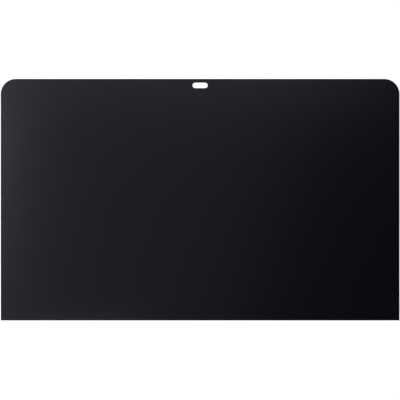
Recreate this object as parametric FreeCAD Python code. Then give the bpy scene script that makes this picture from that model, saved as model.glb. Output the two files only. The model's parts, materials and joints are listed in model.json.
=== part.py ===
import FreeCAD, Part
import os

# A privacy filter for the screen of a desktop computer: one flat, stiff sheet, cut from a
# laminate of louvre film bonded between two clear plastic faces. It lies on its back face at
# z = 0, centred on the origin, with its webcam slot towards +Y. Sizes are in millimetres.

# The sheet covers the screen and the black border around it, out to the edge of the glass.
# Its top corners follow the round corners of the glass, and its bottom corners are square,
# as tight as the cutting tool turns.
SHEET_WIDTH = 525.0
SHEET_HEIGHT = 318.0
SHEET_THICKNESS = 0.5
TOP_CORNER_RADIUS = 20.0
BOTTOM_CORNER_RADIUS = 0.5

# The webcam slot has full round ends and lies along the middle of the top edge.
SLOT_LENGTH = 20.0
SLOT_WIDTH = 7.2
SLOT_TO_TOP_EDGE = 4.9

# Cutting leaves every edge eased by this radius, on the front face and on the back.
EDGE_RADIUS = 0.1

UP = FreeCAD.Vector(0, 0, 1)
QUARTER_TURN = 90


def closed_outline(arcs):
    """Join arcs, listed counter-clockwise, by the straight cuts between them."""
    edges = []
    for arc, next_arc in zip(arcs, arcs[1:] + arcs[:1]):
        arc_end = arc.valueAt(arc.LastParameter)
        next_start = next_arc.valueAt(next_arc.FirstParameter)
        edges.append(arc)
        edges.append(Part.makeLine(arc_end, next_start))
    return Part.Wire(edges)


def sheet_outline():
    """The cut line around the sheet, from the top right corner to the bottom right one."""
    corners = [
        (1, 1, TOP_CORNER_RADIUS),
        (-1, 1, TOP_CORNER_RADIUS),
        (-1, -1, BOTTOM_CORNER_RADIUS),
        (1, -1, BOTTOM_CORNER_RADIUS),
    ]
    arcs = []
    for turn, (side_x, side_y, radius) in enumerate(corners):
        centre_x = side_x * (SHEET_WIDTH / 2 - radius)
        centre_y = side_y * (SHEET_HEIGHT / 2 - radius)
        centre = FreeCAD.Vector(centre_x, centre_y, 0)
        start = turn * QUARTER_TURN
        arcs.append(Part.makeCircle(radius, centre, UP, start, start + QUARTER_TURN))
    return closed_outline(arcs)


def slot_outline():
    """The cut line around the webcam slot: two half circles joined by straight sides."""
    end_radius = SLOT_WIDTH / 2
    end_x = SLOT_LENGTH / 2 - end_radius
    middle_y = SHEET_HEIGHT / 2 - SLOT_TO_TOP_EDGE - end_radius
    right_centre = FreeCAD.Vector(end_x, middle_y, 0)
    left_centre = FreeCAD.Vector(-end_x, middle_y, 0)
    right_end = Part.makeCircle(end_radius, right_centre, UP, -QUARTER_TURN, QUARTER_TURN)
    left_end = Part.makeCircle(end_radius, left_centre, UP, QUARTER_TURN, 3 * QUARTER_TURN)
    return closed_outline([right_end, left_end])


def filter_sheet():
    """The whole filter: the blank with its slot, cut square and then eased at both faces."""
    blank = Part.makeFace([sheet_outline(), slot_outline()], "Part::FaceMakerBullseye")
    sheet = blank.extrude(UP * SHEET_THICKNESS)
    # An edge of the front or back face lies flat, and the others run from face to face.
    face_rims = [edge for edge in sheet.Edges if edge.BoundBox.ZLength < SHEET_THICKNESS / 2]
    # On a very thin sheet the easing leaves a third of the cut edge straight.
    edge_radius = min(EDGE_RADIUS, SHEET_THICKNESS / 3)
    return sheet.makeFillet(edge_radius, face_rims)


os.makedirs("parts", exist_ok=True)
filter_sheet().exportStep("parts/filter_sheet.step")
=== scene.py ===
import json
import math

import bpy
from mathutils import Matrix, Vector


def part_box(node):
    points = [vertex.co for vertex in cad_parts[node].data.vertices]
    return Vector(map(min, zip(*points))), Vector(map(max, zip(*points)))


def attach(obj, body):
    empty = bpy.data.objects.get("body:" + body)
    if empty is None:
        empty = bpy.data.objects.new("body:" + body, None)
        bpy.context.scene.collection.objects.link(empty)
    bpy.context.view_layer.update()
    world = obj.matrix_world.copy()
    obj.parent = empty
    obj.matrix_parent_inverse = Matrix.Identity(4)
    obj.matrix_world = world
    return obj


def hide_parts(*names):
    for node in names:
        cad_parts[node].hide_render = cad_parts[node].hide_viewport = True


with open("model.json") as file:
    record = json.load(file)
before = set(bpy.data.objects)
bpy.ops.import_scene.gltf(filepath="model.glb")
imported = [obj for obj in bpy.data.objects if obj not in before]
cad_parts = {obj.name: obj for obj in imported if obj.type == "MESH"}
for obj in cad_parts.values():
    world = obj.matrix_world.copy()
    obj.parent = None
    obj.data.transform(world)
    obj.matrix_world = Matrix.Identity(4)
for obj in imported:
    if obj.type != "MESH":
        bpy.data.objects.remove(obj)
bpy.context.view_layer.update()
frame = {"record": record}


# Filter sheet
#
# One stiff sheet of black louvre film, bonded between two clear plastic faces and die-cut in one
# stroke, webcam slot and all. The front face has a satin anti-glare coat, the back face that lies
# against the screen is glossy, and the cut edge shows the layers of the laminate.

# Sizes are in metres, and the outer ones are the solid's. Steps make up a round corner or edge.
SHEET_LOW, SHEET_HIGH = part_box("filter_sheet")
SHEET_WIDTH = SHEET_HIGH.x - SHEET_LOW.x
SHEET_HEIGHT = SHEET_HIGH.y - SHEET_LOW.y
SHEET_THICKNESS = SHEET_HIGH.z - SHEET_LOW.z
TOP_CORNER_RADIUS = 0.020
TOP_CORNER_STEPS = 32
BOTTOM_CORNER_RADIUS = 0.0005
BOTTOM_CORNER_STEPS = 4
SLOT_LENGTH = 0.0200
SLOT_WIDTH = 0.0072
SLOT_CORNER_STEPS = 16
EDGE_RADIUS = 0.0001
EDGE_STEPS = 3
SHARPEST_LEFT_ALONE = math.radians(60)
WELD_DISTANCE = 0.000001

# The plastic of every face: how strongly it bends light, and the cool cast of its reflection.
FILM_IOR = 1.54
FILM_REFLECTION_TINT = (0.88, 0.86, 1.0, 1.0)

# A pattern is noise, in features per metre along X, Y and Z. It mostly keeps to this middle range.
PATTERN_LOW = 0.25
PATTERN_HIGH = 0.75

# The louvres show through both faces, close up, as faint upright lines.
LOUVRE_LINES = (5000.0, 40.0, 1.0)
LOUVRE_DARK = (0.0014, 0.0013, 0.0033, 1.0)
LOUVRE_LIGHT = (0.0031, 0.0029, 0.0062, 1.0)

# The anti-glare coat has a roughness that drifts a little over the sheet, and a fine grain.
COAT_ROUGHNESS = (0.254, 0.264)
COAT_DRIFT = (14.0, 11.0, 1.0)
COAT_GRAIN = (3600.0, 3600.0, 1.0)
COAT_GRAIN_DEPTH = 0.000016

# The gloss of the back is a little scuffed, and wavy as cast film is.
GLOSS_ROUGHNESS = (0.10, 0.16)
GLOSS_SCUFFS = (160.0, 90.0, 1.0)
GLOSS_WAVES = (18.0, 26.0, 1.0)
GLOSS_WAVE_DEPTH = 0.00004

# On the cut edge a share of the thickness at each face is clear film, and the blade leaves marks.
CLEAR_FILM_SHARE = 0.25
CLEAR_FILM = (0.030, 0.030, 0.034, 1.0)
CUT_ROUGHNESS = (0.35, 0.55)
CUT_MARKS = (900.0, 900.0, 300.0)
CUT_MARK_DEPTH = 0.00001


def add_node(tree, kind, settings=None, inputs=None):
    """Add a node to a tree, with its settings, and link or set its inputs, by name or by place."""
    node = tree.nodes.new(kind)
    for name, value in (settings or {}).items():
        setattr(node, name, value)
    for socket, value in (inputs or {}).items():
        if isinstance(value, bpy.types.NodeSocket):
            tree.links.new(value, node.inputs[socket])
        else:
            node.inputs[socket].default_value = value
    return node


def worked_out(tree, operation, first, second):
    """The result of one arithmetic operation on two numbers."""
    node = add_node(tree, "ShaderNodeMath", settings={"operation": operation}, inputs={0: first, 1: second})
    return node.outputs["Value"]


def pattern(tree, scale):
    """Noise on the sheet's own coordinates."""
    place = add_node(tree, "ShaderNodeTexCoord")
    mapped = add_node(tree, "ShaderNodeMapping", inputs={"Vector": place.outputs["Object"], "Scale": scale})
    noise = add_node(tree, "ShaderNodeTexNoise", inputs={"Vector": mapped.outputs["Vector"], "Scale": 1.0})
    return noise.outputs["Fac"]


def between(tree, value, limits):
    """A number that runs between two limits with a pattern."""
    ranged = add_node(tree, "ShaderNodeMapRange",
                      inputs={"Value": value, "From Min": PATTERN_LOW, "From Max": PATTERN_HIGH,
                              "To Min": limits[0], "To Max": limits[1]})
    return ranged.outputs["Result"]


def coloured(tree, value, stops, interpolation="LINEAR"):
    """A colour that runs with a value through stops: pairs of a place from 0 to 1 and a colour."""
    ramp = add_node(tree, "ShaderNodeValToRGB", inputs={"Fac": value})
    ramp.color_ramp.interpolation = interpolation
    elements = ramp.color_ramp.elements
    while len(elements) < len(stops):
        elements.new(1.0)
    for element, (place, colour) in zip(elements, stops):
        element.position = place
        element.color = colour
    return ramp.outputs["Color"]


def louvre_colour(tree):
    """The black of the louvre film, in fine upright lines."""
    lines = pattern(tree, LOUVRE_LINES)
    return coloured(tree, lines, [(PATTERN_LOW, LOUVRE_DARK), (PATTERN_HIGH, LOUVRE_LIGHT)])


def bumps(tree, height, depth):
    """Bumps that follow a pattern, as deep as given in metres."""
    bump = add_node(tree, "ShaderNodeBump", inputs={"Height": height, "Distance": depth})
    return bump.outputs["Normal"]


def plastic(name):
    """A finish of the film, before its colour, roughness and bumps: its material, tree and shader."""
    material = bpy.data.materials.new(name)
    material.use_nodes = True
    shader = material.node_tree.nodes["Principled BSDF"]
    shader.inputs["IOR"].default_value = FILM_IOR
    shader.inputs["Specular Tint"].default_value = FILM_REFLECTION_TINT
    return material, material.node_tree, shader


def front_finish():
    """Satin anti-glare coat over the louvres."""
    material, tree, shader = plastic("anti_glare_front")
    roughness = between(tree, pattern(tree, COAT_DRIFT), COAT_ROUGHNESS)
    grain = bumps(tree, pattern(tree, COAT_GRAIN), COAT_GRAIN_DEPTH)
    tree.links.new(louvre_colour(tree), shader.inputs["Base Color"])
    tree.links.new(roughness, shader.inputs["Roughness"])
    tree.links.new(grain, shader.inputs["Normal"])
    return material


def back_finish():
    """Glossy face that lies against the screen."""
    material, tree, shader = plastic("gloss_back")
    roughness = between(tree, pattern(tree, GLOSS_SCUFFS), GLOSS_ROUGHNESS)
    waves = bumps(tree, pattern(tree, GLOSS_WAVES), GLOSS_WAVE_DEPTH)
    tree.links.new(louvre_colour(tree), shader.inputs["Base Color"])
    tree.links.new(roughness, shader.inputs["Roughness"])
    tree.links.new(waves, shader.inputs["Normal"])
    return material


def edge_finish():
    """Cut edge of the laminate: grey clear film at both faces, and the black louvres between them."""
    material, tree, shader = plastic("cut_edge")
    place = add_node(tree, "ShaderNodeTexCoord")
    parts = add_node(tree, "ShaderNodeSeparateXYZ", inputs={"Vector": place.outputs["Object"]})
    rise = add_node(tree, "ShaderNodeMapRange",
                    inputs={"Value": parts.outputs["Z"], "From Min": SHEET_LOW.z, "From Max": SHEET_HIGH.z})
    layers = [(0.0, CLEAR_FILM), (CLEAR_FILM_SHARE, LOUVRE_DARK), (1.0 - CLEAR_FILM_SHARE, CLEAR_FILM)]
    colour = coloured(tree, rise.outputs["Result"], layers, interpolation="CONSTANT")
    marks = pattern(tree, CUT_MARKS)
    tree.links.new(colour, shader.inputs["Base Color"])
    tree.links.new(between(tree, marks, CUT_ROUGHNESS), shader.inputs["Roughness"])
    tree.links.new(bumps(tree, marks, CUT_MARK_DEPTH), shader.inputs["Normal"])
    return material


def cutting_tree(front, back, edge):
    """Node tree that cuts the sheet: its outline and slot, filled, raised to the thickness and closed."""
    tree = bpy.data.node_groups.new("cut_filter_sheet", "GeometryNodeTree")
    sizes = ("Width", "Height", "Thickness", "Top Corner Radius", "Bottom Corner Radius",
             "Slot Length", "Slot Width", "Slot Middle")
    for name in sizes:
        tree.interface.new_socket(name, in_out="INPUT", socket_type="NodeSocketFloat")
    for name in ("Top Corner Steps", "Bottom Corner Steps", "Slot Corner Steps"):
        tree.interface.new_socket(name, in_out="INPUT", socket_type="NodeSocketInt")
    tree.interface.new_socket("Geometry", in_out="OUTPUT", socket_type="NodeSocketGeometry")
    size = add_node(tree, "NodeGroupInput").outputs

    # The sheet's outline, with one radius for the two top corners and another for the bottom ones.
    rectangle = add_node(tree, "GeometryNodeCurvePrimitiveQuadrilateral",
                         inputs={"Width": size["Width"], "Height": size["Height"]})
    position = add_node(tree, "GeometryNodeInputPosition")
    height_up = add_node(tree, "ShaderNodeSeparateXYZ", inputs={"Vector": position.outputs["Position"]})
    at_top = add_node(tree, "FunctionNodeCompare", settings={"operation": "GREATER_THAN"},
                      inputs={"A": height_up.outputs["Y"], "B": 0.0})
    radius = add_node(tree, "GeometryNodeSwitch", settings={"input_type": "FLOAT"},
                      inputs={"Switch": at_top.outputs["Result"], "False": size["Bottom Corner Radius"],
                              "True": size["Top Corner Radius"]})
    steps = add_node(tree, "GeometryNodeSwitch", settings={"input_type": "INT"},
                     inputs={"Switch": at_top.outputs["Result"], "False": size["Bottom Corner Steps"],
                             "True": size["Top Corner Steps"]})
    outline = add_node(tree, "GeometryNodeFilletCurve", settings={"mode": "POLY"},
                       inputs={"Curve": rectangle.outputs["Curve"], "Radius": radius.outputs["Output"],
                               "Count": steps.outputs["Output"]})

    # The webcam slot, with full round ends.
    slot_rectangle = add_node(tree, "GeometryNodeCurvePrimitiveQuadrilateral",
                              inputs={"Width": size["Slot Length"], "Height": size["Slot Width"]})
    slot_outline = add_node(tree, "GeometryNodeFilletCurve", settings={"mode": "POLY"},
                            inputs={"Curve": slot_rectangle.outputs["Curve"],
                                    "Radius": worked_out(tree, "DIVIDE", size["Slot Width"], 2.0),
                                    "Count": size["Slot Corner Steps"], "Limit Radius": True})
    slot_place = add_node(tree, "ShaderNodeCombineXYZ", inputs={"Y": size["Slot Middle"]})
    slot = add_node(tree, "GeometryNodeTransform",
                    inputs={"Geometry": slot_outline.outputs["Curve"],
                            "Translation": slot_place.outputs["Vector"]})

    # The blank between the two outlines, raised to the front face and closed by the back face.
    cuts = add_node(tree, "GeometryNodeJoinGeometry")
    tree.links.new(outline.outputs["Curve"], cuts.inputs["Geometry"])
    tree.links.new(slot.outputs["Geometry"], cuts.inputs["Geometry"])
    blank = add_node(tree, "GeometryNodeFillCurve", settings={"mode": "NGONS"},
                     inputs={"Curve": cuts.outputs["Geometry"]})
    raised = add_node(tree, "GeometryNodeExtrudeMesh",
                      inputs={"Mesh": blank.outputs["Mesh"], "Offset Scale": size["Thickness"],
                              "Individual": False})
    under = add_node(tree, "GeometryNodeFlipFaces", inputs={"Mesh": blank.outputs["Mesh"]})
    both = add_node(tree, "GeometryNodeJoinGeometry")
    tree.links.new(under.outputs["Mesh"], both.inputs["Geometry"])
    tree.links.new(raised.outputs["Mesh"], both.inputs["Geometry"])
    closed = add_node(tree, "GeometryNodeMergeByDistance",
                      inputs={"Geometry": both.outputs["Geometry"], "Distance": WELD_DISTANCE})
    smooth = add_node(tree, "GeometryNodeSetShadeSmooth", inputs={"Geometry": closed.outputs["Geometry"]})

    # Back finish on all faces, then the front and the cut edge over it.
    real = add_node(tree, "GeometryNodeRealizeInstances", inputs={"Geometry": smooth.outputs["Geometry"]})
    on_back = add_node(tree, "GeometryNodeSetMaterial",
                       inputs={"Geometry": real.outputs["Geometry"], "Material": back})
    on_front = add_node(tree, "GeometryNodeSetMaterial",
                        inputs={"Geometry": on_back.outputs["Geometry"], "Material": front,
                                "Selection": raised.outputs["Top"]})
    on_edge = add_node(tree, "GeometryNodeSetMaterial",
                       inputs={"Geometry": on_front.outputs["Geometry"], "Material": edge,
                               "Selection": raised.outputs["Side"]})
    add_node(tree, "NodeGroupOutput", inputs={"Geometry": on_edge.outputs["Geometry"]})
    return tree


def slot_middle():
    """How far the slot's middle lies above the sheet's middle, from the opening in the record."""
    low, high = frame["record"]["physics"]["openings"][0]["box_m"]
    return (low[1] + high[1]) / 2


def filter_sheet():
    """Cut the sheet with the node tree, ease its edges and keep the result as a plain mesh."""
    tree = cutting_tree(front_finish(), back_finish(), edge_finish())
    sheet = bpy.data.objects.new("louvre_film_sheet", bpy.data.meshes.new("louvre_film_sheet"))
    bpy.context.scene.collection.objects.link(sheet)
    cut = sheet.modifiers.new("cut", "NODES")
    cut.node_group = tree
    sizes = {
        "Width": SHEET_WIDTH,
        "Height": SHEET_HEIGHT,
        "Thickness": SHEET_THICKNESS,
        "Top Corner Radius": TOP_CORNER_RADIUS,
        "Bottom Corner Radius": BOTTOM_CORNER_RADIUS,
        "Slot Length": SLOT_LENGTH,
        "Slot Width": SLOT_WIDTH,
        "Slot Middle": slot_middle(),
        "Top Corner Steps": TOP_CORNER_STEPS,
        "Bottom Corner Steps": BOTTOM_CORNER_STEPS,
        "Slot Corner Steps": SLOT_CORNER_STEPS,
    }
    for socket in tree.interface.items_tree:
        if socket.in_out == "INPUT":
            cut[socket.identifier] = sizes[socket.name]
    # Only the rims of the two faces turn sharply enough to be eased, and not the steps of a corner.
    eased = sheet.modifiers.new("eased_edges", "BEVEL")
    eased.limit_method = "ANGLE"
    eased.angle_limit = SHARPEST_LEFT_ALONE
    eased.width = EDGE_RADIUS
    eased.segments = EDGE_STEPS
    # The flat faces keep their own normals, and only the eased edges between them shade as round.
    eased.harden_normals = True
    shaped = sheet.evaluated_get(bpy.context.evaluated_depsgraph_get())
    mesh = bpy.data.meshes.new_from_object(shaped)
    # Joining the two halves of the blank leaves an empty material slot in front of the finishes.
    mesh.materials.pop(index=0)
    sheet.modifiers.clear()
    sheet.data = mesh
    return sheet


sheet = filter_sheet()
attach(sheet, "root")
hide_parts("filter_sheet")


# Floor
#
# A plain pale table top under the sheet, which takes the sheet's shadow. Seen directly or in a
# reflection it also glows a little, and more so away from the sheet, where less light falls on it,
# so that it looks white as far as the horizon.

FLOOR_SIZE = 24.0
FLOOR_GAP = 0.00002
FLOOR_COLOUR = (0.5, 0.5, 0.5, 1.0)
FLOOR_GLOW_NEAR = 0.65
FLOOR_GLOW_FAR = 1.0
FLOOR_GLOW_RISE_START = 0.5
FLOOR_GLOW_RISE_END = 1.5


def floor_finish():
    """Pale surface, with a glow for what sees it directly, by reflection or through glass."""
    material = bpy.data.materials.new("white_table")
    material.use_nodes = True
    tree = material.node_tree
    tree.nodes.clear()
    surface = add_node(tree, "ShaderNodeBsdfDiffuse", inputs={"Color": FLOOR_COLOUR})
    place = add_node(tree, "ShaderNodeTexCoord")
    distance = add_node(tree, "ShaderNodeVectorMath", settings={"operation": "LENGTH"},
                        inputs={"Vector": place.outputs["Object"]})
    rise = add_node(tree, "ShaderNodeMapRange",
                    inputs={"Value": distance.outputs["Value"], "From Min": FLOOR_GLOW_RISE_START,
                            "From Max": FLOOR_GLOW_RISE_END, "To Min": FLOOR_GLOW_NEAR,
                            "To Max": FLOOR_GLOW_FAR})
    path = add_node(tree, "ShaderNodeLightPath").outputs
    direct_or_mirrored = worked_out(tree, "ADD", path["Is Camera Ray"], path["Is Glossy Ray"])
    seen = worked_out(tree, "ADD", direct_or_mirrored, path["Is Transmission Ray"])
    strength = worked_out(tree, "MULTIPLY", seen, rise.outputs["Result"])
    glow = add_node(tree, "ShaderNodeEmission", inputs={"Strength": strength})
    both = add_node(tree, "ShaderNodeAddShader",
                    inputs={0: surface.outputs["BSDF"], 1: glow.outputs["Emission"]})
    add_node(tree, "ShaderNodeOutputMaterial", inputs={"Surface": both.outputs["Shader"]})
    return material


def floor_mesh():
    """A square just under the sheet."""
    half = FLOOR_SIZE / 2
    level = SHEET_LOW.z - FLOOR_GAP
    corners = [(-half, -half, level), (half, -half, level), (half, half, level), (-half, half, level)]
    mesh = bpy.data.meshes.new("table_top")
    mesh.from_pydata(corners, [], [(0, 1, 2, 3)])
    mesh.materials.append(floor_finish())
    return mesh


floor = bpy.data.objects.new("table_top", floor_mesh())
bpy.context.scene.collection.objects.link(floor)


# Studio light
#
# White walls low down and a dark ceiling, so that the sheet stays black from most sides. Softboxes
# on the left, behind the top edge and low before the bottom edge shine back from the satin face,
# with a dim ceiling panel. A large overhead lamp that doesn't show in reflections evens the light.

WALL_COLOUR = (1.0, 1.0, 1.0, 1.0)
WALL_BRIGHTNESS = 1.0
WALL_FADE_START = math.sin(math.radians(2))
WALL_FADE_END = math.sin(math.radians(15))
CEILING_BRIGHTNESS = 0.01

# A square metre of lamp takes this many watts to look white, which is a radiance of 1.
WATTS_PER_RADIANCE = math.pi


def studio_walls():
    """World light that runs from white at the horizon to nearly black overhead."""
    world = bpy.data.worlds.new("studio_walls")
    bpy.context.scene.world = world
    world.use_nodes = True
    tree = world.node_tree
    direction = add_node(tree, "ShaderNodeTexCoord")
    parts = add_node(tree, "ShaderNodeSeparateXYZ", inputs={"Vector": direction.outputs["Generated"]})
    brightness = add_node(tree, "ShaderNodeMapRange", settings={"interpolation_type": "SMOOTHSTEP"},
                          inputs={"Value": parts.outputs["Z"], "From Min": WALL_FADE_START,
                                  "From Max": WALL_FADE_END, "To Min": WALL_BRIGHTNESS,
                                  "To Max": CEILING_BRIGHTNESS})
    background = tree.nodes["Background"]
    background.inputs["Color"].default_value = WALL_COLOUR
    tree.links.new(brightness.outputs["Result"], background.inputs["Strength"])


def softbox(name, turn, reach, height, along, width, drop, length, radiance, spread=180.0):
    """Hang a softbox that faces the sheet, with its lengths in metres, and return it.

    Its near edge is at a height and at a reach from the middle, in the direction that turn gives
    in degrees from +X. From there it is width deep and falls by drop, and it is length long,
    moved along that length. A grid on its front can gather its light into a spread in degrees.
    """
    outward = Vector((math.cos(math.radians(turn)), math.sin(math.radians(turn)), 0.0))
    sideways = Vector((-outward.y, outward.x, 0.0))
    slope = outward * width - Vector((0.0, 0.0, drop))
    middle = outward * reach + sideways * along + Vector((0.0, 0.0, height)) + slope / 2
    depth_axis = slope.normalized()
    back_axis = sideways.cross(depth_axis)
    # A lamp shines away from its back, so the back is turned upwards.
    if back_axis.z < 0:
        sideways = -sideways
        back_axis = -back_axis
    lamp = bpy.data.lights.new(name, "AREA")
    lamp.shape = "RECTANGLE"
    lamp.size = length
    lamp.size_y = slope.length
    lamp.energy = radiance * WATTS_PER_RADIANCE * length * slope.length
    lamp.spread = math.radians(spread)
    box = bpy.data.objects.new(name, lamp)
    turn_matrix = Matrix((sideways, depth_axis, back_axis)).transposed()
    box.matrix_world = Matrix.Translation(middle) @ turn_matrix.to_4x4()
    box.visible_camera = False
    bpy.context.scene.collection.objects.link(box)
    return box


studio_walls()
softbox("left_softbox", turn=166.9, reach=0.526, height=0.9, along=0.463,
        width=0.4, drop=0.2, length=1.2, radiance=2.34)
softbox("top_softbox", turn=90.0, reach=0.332, height=1.2, along=0.282,
        width=0.5, drop=0.25, length=1.6, radiance=0.55)
# The low softbox has a grid, so that it doesn't show in the sheet from a low viewpoint behind it.
softbox("bottom_softbox", turn=270.0, reach=0.195, height=0.2, along=-0.18,
        width=0.1, drop=0.0, length=0.18, radiance=0.14, spread=80.0)
softbox("ceiling_panel", turn=163.0, reach=-0.208, height=1.6, along=0.0,
        width=1.6, drop=0.0, length=3.0, radiance=0.201)
overhead_fill = softbox("overhead_fill", turn=0.0, reach=-1.25, height=2.2, along=0.0,
                        width=2.5, drop=0.0, length=2.5, radiance=2.2)
overhead_fill.visible_glossy = False


# Camera
#
# It looks straight down on the sheet, as the photograph looks straight at it, and the sheet is
# as wide in the picture, and lies in the same place, as there.

CAMERA_HEIGHT = 1.2
PICTURE_PIXELS = 400.0

# The white around the sheet spreads over about half a pixel at each edge, so the sheet is laid out
# a pixel wider than it looks.
SHEET_PIXELS_WIDE = 398.8
SHEET_MIDDLE_PIXEL = (200.1, 199.7)

metres_per_pixel = SHEET_WIDTH / SHEET_PIXELS_WIDE
picture_middle = PICTURE_PIXELS / 2
camera_x = (picture_middle - SHEET_MIDDLE_PIXEL[0]) * metres_per_pixel
camera_y = (SHEET_MIDDLE_PIXEL[1] - picture_middle) * metres_per_pixel
lens = bpy.data.cameras.new("overhead_camera")
lens.angle = 2 * math.atan(picture_middle * metres_per_pixel / (CAMERA_HEIGHT - SHEET_HIGH.z))
camera = bpy.data.objects.new("overhead_camera", lens)
camera.location = (camera_x, camera_y, CAMERA_HEIGHT)
bpy.context.scene.collection.objects.link(camera)
bpy.context.scene.camera = camera
bpy.context.scene.view_settings.view_transform = "Standard"
